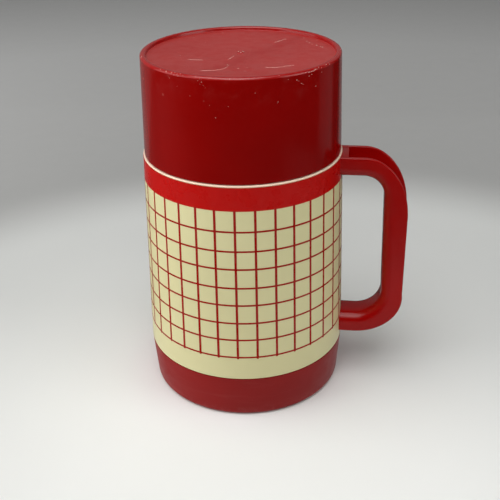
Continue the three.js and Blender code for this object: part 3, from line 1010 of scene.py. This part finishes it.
def make_cup():
    inner = CUP_MOUTH_RADIUS - CUP_WALL
    inner_top = CUP_TOP_RADIUS - CUP_WALL
    under = CUP_END_HEIGHT - WALL
    outline = [
        (0, under),
        (inner_top, under, 1),
        (inner, CUP_BOTTOM, 0.4),
        (CUP_MOUTH_RADIUS, CUP_BOTTOM, 0.5),
        (CUP_TOP_RADIUS, CUP_TOP, RIM_ROUNDING),
        (CUP_TOP_RADIUS - RIM_WIDTH + 0.2, CUP_TOP, 0.95),
        (CUP_TOP_RADIUS - RIM_WIDTH, CUP_END_HEIGHT, 0.3),
        (0, CUP_END_HEIGHT),
    ]
    shapes = [turned(outline), *threads(inner, tip=47.6, bottom=136, turns=LONG_THREAD)]
    # the flat end's and the rim's lighter reds carry a painted reflection and a painted highlight
    skins = [CUP_RED, CUP_END_PAINTED_REFLECTION, CUP_RIM_PAINTED_HIGHLIGHT]

    def skin_at(centre):
        if centre.z < CUP_END_HEIGHT - 0.05:
            return 0
        return 1 if centre.xy.length < CUP_TOP_RADIUS - RIM_WIDTH - 0.1 else 2

    piece("cup_outer", shapes, "cup", skins, ["cup_shell"], skin_at=skin_at)


def make_gate_mark():
    """The small raised ring and nib in the middle of the cup's end, left by its moulding."""
    foot, ring_top, groove, nib_top = (CUP_END_HEIGHT + rise for rise in (-0.2, GATE_RISE, 0.05, 0.7))
    outline = [
        (0, foot),
        (1.9, foot),
        (1.7, ring_top, 0.15),
        (1.1, ring_top, 0.2),
        (0.9, groove, 0.1),
        (0.6, nib_top, 0.2),
        (0, nib_top),
    ]
    # the gate mark takes the rim's lighter red, which carries a painted highlight
    piece("cup_gate_mark", [turned(outline, 32)], "cup", CUP_RIM_PAINTED_HIGHLIGHT)


def make_cup_liner():
    """The cup's inner wall, which turns out over an air space to meet the shell."""
    top, foot = 180.1, 147.2
    top_radius, foot_radius, flange = 45.8, 46.9, 48
    outline = [
        (0, top - LINER_WALL),
        (top_radius - LINER_WALL, top - LINER_WALL, 3),
        (foot_radius - LINER_WALL, foot, 0.5),
        (flange, foot, 0.5),
        (flange, foot + LINER_WALL, 0.4),
        (foot_radius, foot + LINER_WALL, 0.5),
        (top_radius, top, 3.5),
        (0, top),
    ]
    piece("cup_inner", [turned(outline)], "cup_lift", LINER_RED, ["cup_liner"])


# -------- wear on the cup

CHIP_HEIGHT = 0.04
CHIP_WOBBLE = (1.0, 0.7, 1.15, 0.85, 0.6, 1.1, 0.9, 0.75, 1.2)
CHIP_LAYERS = ((1.0, -0.06), (0.75, 0.7 * CHIP_HEIGHT), (0.3, CHIP_HEIGHT))  # (width share, lift)
SCRATCH_STEPS = 6  # from one point to the next
SCRATCH_SMOOTHINGS = 3
RIM_CHIP_SCALE = 0.75
SIDE_CHIP_SCALE = 0.85
# Scratches on the flat end: (x, y) points from one end to the other, then width and height.
END_SCRATCHES = [
    ([(-24, -14), (-20, -14.5), (-16.5, -14.5)], 0.46, 0.05),
    ([(-14.5, -32.5), (-9, -32), (-5.5, -30.5), (-3.5, -27.5), (-2.5, -22.5)], 0.5, 0.05),
    ([(15, -25), (18.5, -25.5), (21.5, -24.5), (28, -20.5)], 0.5, 0.05),
    ([(20, 28.5), (17, 24.5), (14.5, 20)], 0.36, 0.04),
    ([(-4.5, -13), (-3.5, -9.5), (-2.5, -6)], 0.34, 0.04),
]
LONG_FINE_SCRATCHES = [
    [(4.4, 9.9), (4.6, -4), (3.3, -19.8)],
    [(-28.8, -7.4), (-27.6, -13), (-24.5, -19.2)],
]
END_CHIPS = [  # (x, y, size)
    (2.5, -28, 0.9), (-21, 19, 0.5), (6.5, -26.5, 0.5), (-29, -7.5, 0.5), (-3.5, -22, 0.7),
    (29, 31, 0.6), (31, 24.5, 0.8), (32.5, 21, 1.0), (34, 18.5, 0.7), (36.5, 16.5, 0.9),
    (38.5, 14.5, 0.8), (39.5, 13, 1.1), (36, 27, 0.6), (-29, 29.5, 0.5), (-15, 39, 0.5),
]
# Pale spots on the gate mark's raised ring: painted glints.
GATE_PAINTED_GLINTS = [(-1.2, 0.6, 0.9), (1.3, 0.2, 0.8), (0.2, -1.3, 0.7), (0.5, 1.4, 0.6)]  # (x, y, size)
RIM_CHIPS = [  # (degrees round, degrees up the rounding, size)
    (-160, 60, 1.1), (-118, 45, 0.9), (-120, 20, 0.7), (-117, 10, 0.6), (-122, 30, 0.5),
    (-104, 15, 0.7), (-103, 5, 0.4), (-46, 20, 0.8), (-41, 10, 0.9), (-38, 30, 0.7),
    (-43, 5, 0.5), (-26, 25, 0.8), (-30, 40, 0.4), (-75, 50, 0.4), (60, 40, 0.6),
    (112, 50, 0.7), (150, 30, 0.5), (175, 45, 0.6), (20, 60, 0.5), (3, 70, 0.6),
    (-131, 60, 0.6), (-126, 45, 1.0), (-122, 60, 1.1), (-120, 70, 0.9), (-116, 60, 0.8),
    (-114, 40, 0.5), (-39, 35, 1.1), (-40, 25, 0.9), (-42, 12, 0.8), (-44, 8, 1.0),
    (-36, 50, 0.7), (-29, 50, 0.9), (-26, 55, 0.7), (-34, 30, 0.6), (-88, 40, 0.4),
    (-62, 60, 0.5),
]
SIDE_CHIPS = [  # (degrees round, height, size)
    (-103, 183, 0.5), (-104, 182, 0.4), (-102, 181.5, 0.5), (-101, 180.5, 0.4), (-49, 180, 0.5),
    (-51, 181.5, 0.4), (-39, 177, 0.4), (-110, 176, 0.4), (-63, 173, 0.4), (-34, 182.5, 0.4),
    (-124, 183, 0.4), (70, 178, 0.4), (140, 181, 0.5), (-175, 176, 0.4), (25, 180, 0.4),
    (-123, 182.5, 0.5), (-105, 183.5, 0.5), (-52, 182, 0.6), (-49, 180, 0.6), (-48, 179.5, 0.5),
    (-39, 177, 0.5), (-99, 172.5, 0.5), (-89, 172.5, 0.5), (-96, 167, 0.5), (-63, 173.5, 0.4),
    (-42, 183, 0.7), (-44, 182.5, 0.6), (-57, 183, 0.5), (-75, 178.5, 0.4), (-118, 179.5, 0.4),
]


def scratch(points, width, height):
    """A thin raised line on the cup's flat end, through (x, y) points, narrowing to both ends."""
    line = [Vector(p) for p in points]
    samples = []
    for a, b in zip(line, line[1:]):
        samples += [a.lerp(b, t / SCRATCH_STEPS) for t in range(SCRATCH_STEPS)]
    samples.append(line[-1])
    last = len(samples) - 1
    for _ in range(SCRATCH_SMOOTHINGS):
        inside = [sum(samples[i - 1 : i + 2], Vector((0, 0))) / 3 for i in range(1, last)]
        samples = [samples[0], *inside, samples[-1]]
    base = CUP_END_HEIGHT - 0.05
    top = CUP_END_HEIGHT + height
    loops = []
    for i, at in enumerate(samples):
        along = (samples[min(i + 1, last)] - samples[max(i - 1, 0)]).normalized()
        across = Vector((-along.y, along.x))
        taper = 0.15 + 0.85 * math.sin(math.pi * i / last) ** 0.6
        half = width / 2 * taper * random.uniform(0.7, 1.2)
        left, right = at + across * half, at - across * half
        loops.append([(left.x, left.y, base), (right.x, right.y, base), (at.x, at.y, top)])
    return swept(loops)


def chip(at, normal, size, flat=1.0):
    """A small irregular bruise of that size, standing out of the surface by a hair."""
    up = Vector(normal).normalized()
    side = up.orthogonal().normalized()
    other = up.cross(side)
    rings = []
    for share, lift in CHIP_LAYERS:
        ring = []
        for k, wobble in enumerate(CHIP_WOBBLE):
            angle = FULL_TURN * k / len(CHIP_WOBBLE)
            reach = size / 2 * share * wobble
            offset = side * math.cos(angle) * reach + other * math.sin(angle) * reach * flat
            point = Vector(at) + offset + up * lift
            ring.append((point.x, point.y, min(point.z, CUP_TOP + 0.05)))
        rings.append(ring)
    return swept(rings)


def outward(azimuth):
    """The level direction at that many degrees about the axis."""
    return Vector((math.cos(math.radians(azimuth)), math.sin(math.radians(azimuth)), 0.0))


def on_side(azimuth, z):
    """(point, outward direction) on the cup's side wall."""
    share = (z - CUP_BOTTOM) / (CUP_TOP - CUP_BOTTOM)
    radius = CUP_MOUTH_RADIUS + (CUP_TOP_RADIUS - CUP_MOUTH_RADIUS) * share
    out = outward(azimuth)
    return out * radius + Vector((0, 0, z)), out


def on_rim(azimuth, tilt):
    """(point, outward direction) on the cup's rounded outer rim. Tilt 0 faces out and 90 up."""
    out = outward(azimuth)
    direction = out * math.cos(math.radians(tilt)) + Vector((0, 0, math.sin(math.radians(tilt))))
    centre = out * (CUP_TOP_RADIUS - RIM_ROUNDING) + Vector((0, 0, CUP_TOP - RIM_ROUNDING))
    return centre + direction * RIM_ROUNDING, direction


def make_scuffs():
    """The pale scratches and bruises on the cup's end, round its rim and down its side, and pale
    spots on the gate mark that are painted glints.
    """
    up = (0, 0, 1)
    marks = [scratch(*values) for values in END_SCRATCHES]
    marks += [chip((x, y, CUP_END_HEIGHT), up, size) for x, y, size in END_CHIPS]
    marks += [chip((x, y, CUP_END_HEIGHT + GATE_RISE), up, size) for x, y, size in GATE_PAINTED_GLINTS]
    for azimuth, tilt, size in RIM_CHIPS:
        flat = random.uniform(0.3, 0.9)
        marks.append(chip(*on_rim(azimuth, tilt), RIM_CHIP_SCALE * size, flat))
    for azimuth, z, size in SIDE_CHIPS:
        flat = random.uniform(0.4, 1)
        marks.append(chip(*on_side(azimuth, z), SIDE_CHIP_SCALE * size, flat))
    piece("cup_scuffs", marks, "cup", SCUFF)


def make_fine_scratches():
    """Faint scratches scattered over the cup's flat end, most of them short."""
    count, parts = 46, 3
    spread, edge = 44, 46
    marks = []
    for _ in range(count):
        reach = spread * math.sqrt(random.random())
        around = random.uniform(0, FULL_TURN)
        x, y = reach * math.cos(around), reach * math.sin(around)
        heading = random.gauss(0.6, 0.9)
        length = random.uniform(2, 9)
        bend = random.uniform(-0.5, 0.5)
        points = []
        for _ in range(parts + 1):
            points.append((x, y))
            x += length / parts * math.cos(heading)
            y += length / parts * math.sin(heading)
            heading += bend / parts
        if max(math.hypot(*p) for p in points) < edge:
            marks.append(scratch(points, random.uniform(0.1, 0.2), 0.015))
    marks += [scratch(points, 0.25, 0.02) for points in LONG_FINE_SCRATCHES]
    piece("cup_fine_scratches", marks, "cup", FAINT_SCUFF)


make_base()
make_cushion()
make_outer_glass()
make_inner_glass()
make_pads()
make_shoulder_ring()
make_jacket()
make_print()
make_neck()
make_mouth_seal()
make_handle()
make_stopper()
make_stopper_cap()
make_cup()
make_gate_mark()
make_cup_liner()
make_scuffs()
make_fine_scratches()


# -------- floor and light

CONTACT_GLOW = 0.38
TABLE_GLOW = 0.06
STRIP_GLOW = 0.17
BACKDROP_GLOW = 0.2
WORLD_GLOW = 0.013
FLOOR_HALF = 4.0
FLOOR_PAINTED_LIGHT_CENTRE = (0.04, -0.1, 0)
LIGHTS_AIM = (0, 0, 0.09)
NEVER_REFLECTED = "left_low"
# Each light panel's place, its size and its watts.
PANELS = {
    "overhead": ((-0.15, -0.35, 1.15), (1.1, 1.1), 11.8),
    "overhead_front": ((0.15, -0.95, 0.95), (0.9, 0.7), 2.4),
    "left_low": ((-1.2, -0.15, 0.22), (1.2, 0.4), 8.0),
    "left_side": ((-1.2, -0.35, 0.6), (1.3, 0.8), 4.4),
    "right_side": ((1.1, -0.35, 0.6), (0.8, 0.8), 4.0),
    "behind": ((0.1, 1.3, 0.9), (2.0, 0.8), 1.5),
}


def flat_card(name, corners, material):
    """A flat mesh through (x, y, z) corners in metres, which isn't part of the flask."""
    mesh = bpy.data.meshes.new(name)
    mesh.from_pydata(corners, [], [range(len(corners))])
    mesh.materials.append(material)
    card = placed(name, mesh)
    return card


def make_floor():
    """A pale floor whose colour is brightest just in front of the flask, greyer to the sides and
    darker behind it: a painted pool of light and its painted falloff.
    """
    finish = Finish("floor", Specular_IOR_Level=0.2)
    inputs = {0: finish.place, 1: FLOOR_PAINTED_LIGHT_CENTRE}
    distance = finish.node("ShaderNodeVectorMath", inputs, operation="DISTANCE").outputs["Value"]
    # painted light: the floor's colour falls off with the distance from its brightest point
    near = finish.mix(finish.noise(60, 3), rgb(0.82, 0.83, 0.80), rgb(0.84, 0.85, 0.83))
    beside = finish.spread(distance, 0.06, 0.3, 0, 1, soft=True)
    painted_pool = finish.mix(beside, near, rgb(0.64, 0.65, 0.63))
    distant = finish.spread(distance, 0.4, 0.85, 0, 1)
    behind = finish.mix(distant, rgb(0.39, 0.39, 0.38), rgb(0.56, 0.56, 0.55))
    finish.colour(finish.mix(finish.spread(distance, 0.31, 0.42, 0, 1, soft=True), painted_pool, behind))
    finish.roughness(finish.blotches(20, 3, 0.3, 0.7, 0.6, 0.75))
    square = [(-1, -1), (1, -1), (1, 1), (-1, 1)]
    corners = [(FLOOR_HALF * x, FLOOR_HALF * y, 0) for x, y in square]
    floor = flat_card("floor", corners, finish.material)
    floor.visible_glossy = False


def glowing(name, glow, corners):
    """A patch of floor or backdrop that the glossy plastic reflects, seen by reflections only."""
    light = {"Emission_Color": rgb(1, 0.99, 0.97), "Emission_Strength": glow}
    finish = Finish(name, Base_Color=rgb(0, 0, 0), **light)
    card = flat_card(name, corners, finish.material)
    for sees in ("camera", "diffuse", "shadow", "transmission", "volume_scatter"):
        setattr(card, f"visible_{sees}", False)
    return finish


def make_reflections():
    """The table round the flask, a pale strip on its right and the backdrop, for reflections."""
    ring = [FULL_TURN * k / 48 for k in range(48)]
    contact = [(0.1 * math.cos(angle), 0.1 * math.sin(angle), 0.0004) for angle in ring]
    glowing("reflected_contact", CONTACT_GLOW, contact)
    beside = [(x, y, 0.0006) for x, y in ((0.04, -0.16), (0.22, -0.16), (0.22, 0), (0.04, 0))]
    glowing("reflected_beside", CONTACT_GLOW, beside)
    table = [(x, y, 0.0002) for x, y in ((-0.9, -0.32), (0.40, -0.32), (0.40, 0.09), (-0.9, 0.3))]
    finish = glowing("reflected_table", TABLE_GLOW, table)
    fading = finish.spread(finish.along("Y"), -0.30, -0.10, 0, TABLE_GLOW, soft=True)
    finish.feed(fading, finish.shader.inputs["Emission Strength"])
    near, far = (0.527, 0.091), (0.427, 0.307)
    strip = [(*near, -0.5), (*far, -0.5), (*far, 0.4), (*near, 0.4)]
    glowing("reflected_strip", STRIP_GLOW, strip)
    left, right, back, bottom, top = -1.2, 0.27, 0.45, -0.4, 1.2
    backdrop = [(left, back, bottom), (right, back, bottom), (right, back, top), (left, back, top)]
    glowing("reflected_backdrop", BACKDROP_GLOW, backdrop)


def make_light():
    for name, (at, size, watts) in PANELS.items():
        data = bpy.data.lights.new(name, "AREA")
        data.shape = "RECTANGLE"
        data.size, data.size_y = size
        data.energy = watts
        light = placed(name, data)
        light.location = at
        light.visible_glossy = name != NEVER_REFLECTED
        aim = Vector(LIGHTS_AIM) - Vector(at)
        light.rotation_euler = aim.to_track_quat("-Z", "Y").to_euler()
    world = bpy.data.worlds.new("studio")
    world.use_nodes = True
    background = world.node_tree.nodes["Background"]
    background.inputs["Color"].default_value = (0.97, 0.98, 1.0, 1.0)
    background.inputs["Strength"].default_value = WORLD_GLOW
    bpy.context.scene.world = world
    bpy.context.scene.view_settings.view_transform = "Standard"


make_floor()
make_reflections()
make_light()
